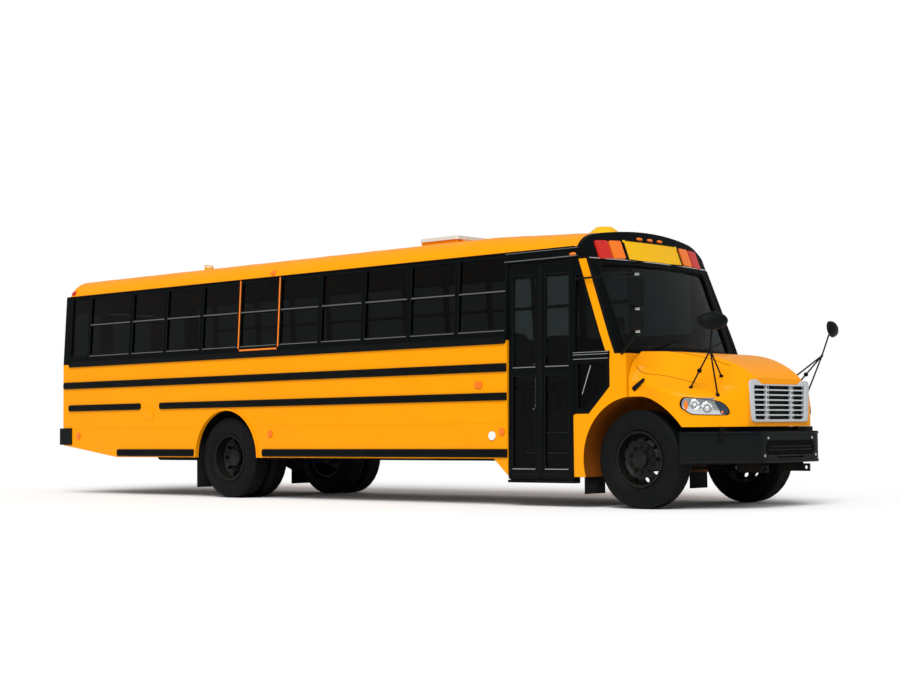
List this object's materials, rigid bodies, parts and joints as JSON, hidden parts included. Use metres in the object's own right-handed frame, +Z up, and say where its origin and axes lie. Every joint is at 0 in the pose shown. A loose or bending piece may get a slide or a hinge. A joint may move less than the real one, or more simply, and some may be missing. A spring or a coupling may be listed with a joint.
{
  "type": "school bus",
  "caption": "Yellow conventional school bus with a tilting hood, folding entrance door, rear emergency door and steered front wheels",
  "frame": {"origin": "on the ground under the middle of the bus", "axes": "+X forward, +Y to the left side, +Z up"},
  "size_m": [11.57, 2.948, 3.287],
  "materials": {
    "yellow_paint": "gloss",
    "black_paint": "satin",
    "white_paint": "satin",
    "chassis_paint": "matte",
    "cast_block": "matte",
    "bare_steel": "satin",
    "tyre_rubber": "matte",
    "wheel_paint": "satin",
    "tinted_glass": "gloss",
    "seat_cover": "satin",
    "floor_rubber": "matte",
    "dark_plastic": "matte",
    "lamp_chrome": "gloss",
    "grille_silver": "gloss",
    "red_lens": "gloss",
    "amber_lens": "gloss",
    "clear_lens": "gloss",
    "red_sign": "gloss"
  },
  "bodies": {
    "chassis": {"frame_rails": "chassis_paint", "front_axle": "chassis_paint", "rear_axle": "chassis_paint", "leaf_springs": "chassis_paint", "engine_block": "cast_block", "radiator": "bare_steel", "driveline": "chassis_paint", "fuel_tank": "chassis_paint", "exhaust": "bare_steel", "left_side_panel": "yellow_paint", "right_side_panel": "yellow_paint", "left_window_band": "black_paint", "right_window_band": "black_paint", "roof": "yellow_paint", "rear_wall": "yellow_paint", "floor": "floor_rubber", "front_cap": "black_paint", "windshield": "tinted_glass", "cowl": "yellow_paint", "body_glass": "tinted_glass", "rub_rails": "black_paint", "seat_pads": "seat_cover", "seat_frames": "chassis_paint", "driver_seat": "seat_cover", "dashboard": "dark_plastic", "steering_wheel": "dark_plastic", "front_bumper": "black_paint", "rear_bumper": "black_paint", "door_frame": "black_paint", "side_mirrors": "dark_plastic", "red_lamps": "red_lens", "amber_lamps": "amber_lens", "clear_lamps": "clear_lens", "sign_panel": "yellow_paint", "roof_fittings": "yellow_paint", "mud_flaps": "floor_rubber", "stop_arm_bracket": "black_paint"},
    "hood": {"hood_shell": "yellow_paint", "grille": "grille_silver", "headlights": "lamp_chrome", "hood_mirrors": "dark_plastic"},
    "rear_leaf": {"door_rear_leaf": "black_paint", "door_rear_glass": "tinted_glass"},
    "front_leaf": {"door_front_leaf": "black_paint", "door_front_glass": "tinted_glass"},
    "exit_door": {"emergency_door": "yellow_paint", "emergency_glass": "tinted_glass"},
    "hatch_lid": {"roof_hatch": "white_paint"},
    "stop_paddle": {"stop_arm": "red_sign"},
    "left_knuckle": {"knuckle_left": "chassis_paint"},
    "right_knuckle": {"knuckle_right": "chassis_paint"},
    "track_rod": {"tie_rod": "chassis_paint"},
    "front_left_wheel": {"front_left_tyre": "tyre_rubber", "front_left_rim": "wheel_paint"},
    "front_right_wheel": {"front_right_tyre": "tyre_rubber", "front_right_rim": "wheel_paint"},
    "rear_left_wheels": {"rear_left_tyres": "tyre_rubber", "rear_left_rims": "wheel_paint"},
    "rear_right_wheels": {"rear_right_tyres": "tyre_rubber", "rear_right_rims": "wheel_paint"}
  },
  "joints": [
    {"name": "hood_tilt", "type": "hinge", "parent": "chassis", "child": "hood", "pos_m": [5.615, 0, 0.847], "axis": [0, 1, 0], "range_deg": [0, 60]},
    {"name": "rear_leaf_swing", "type": "hinge", "parent": "chassis", "child": "rear_leaf", "pos_m": [2.9, -1.2015, 0.3046], "axis": [0, -0.0204, -0.9998], "range_deg": [0, 90]},
    {"name": "front_leaf_swing", "type": "hinge", "parent": "chassis", "child": "front_leaf", "pos_m": [3.78, -1.2015, 0.3046], "axis": [0, 0.0204, 0.9998], "range_deg": [0, 90]},
    {"name": "exit_door_swing", "type": "hinge", "parent": "chassis", "child": "exit_door", "pos_m": [-5.701, -0.48, 1.865], "axis": [0, 0, 1], "range_deg": [0, 110]},
    {"name": "hatch_lift", "type": "hinge", "parent": "chassis", "child": "hatch_lid", "pos_m": [1.34, 0, 3.208], "axis": [0, 1, 0], "range_deg": [0, 90]},
    {"name": "stop_arm_swing", "type": "hinge", "parent": "chassis", "child": "stop_paddle", "pos_m": [2.805, 1.249, 1.4], "axis": [0, 0, -1], "range_deg": [0, 90]},
    {"name": "left_steer", "type": "hinge", "parent": "chassis", "child": "left_knuckle", "pos_m": [4.615, 0.89, 0.527], "axis": [0, 0, 1], "range_deg": [-40, 40]},
    {"name": "right_steer", "type": "hinge", "parent": "chassis", "child": "right_knuckle", "pos_m": [4.615, -0.89, 0.527], "axis": [0, 0, 1], "range_deg": [-40, 40]},
    {"name": "track_rod_follow", "type": "hinge", "parent": "left_knuckle", "child": "track_rod", "pos_m": [4.445, 0.89, 0.437], "axis": [0, 0, 1], "range_deg": [-40, 40]},
    {"name": "front_left_spin", "type": "hinge", "parent": "left_knuckle", "child": "front_left_wheel", "pos_m": [4.615, 1.01, 0.527], "axis": [0, 1, 0], "continuous": true},
    {"name": "front_right_spin", "type": "hinge", "parent": "right_knuckle", "child": "front_right_wheel", "pos_m": [4.615, -1.01, 0.527], "axis": [0, 1, 0], "continuous": true},
    {"name": "rear_left_spin", "type": "hinge", "parent": "chassis", "child": "rear_left_wheels", "pos_m": [-2.025, 0.88, 0.527], "axis": [0, 1, 0], "continuous": true},
    {"name": "rear_right_spin", "type": "hinge", "parent": "chassis", "child": "rear_right_wheels", "pos_m": [-2.025, -0.88, 0.527], "axis": [0, 1, 0], "continuous": true}
  ],
  "couplings": [
    {"joint": "right_steer", "follows": "left_steer", "ratio": 1},
    {"joint": "track_rod_follow", "follows": "left_steer", "ratio": -1}
  ]
}
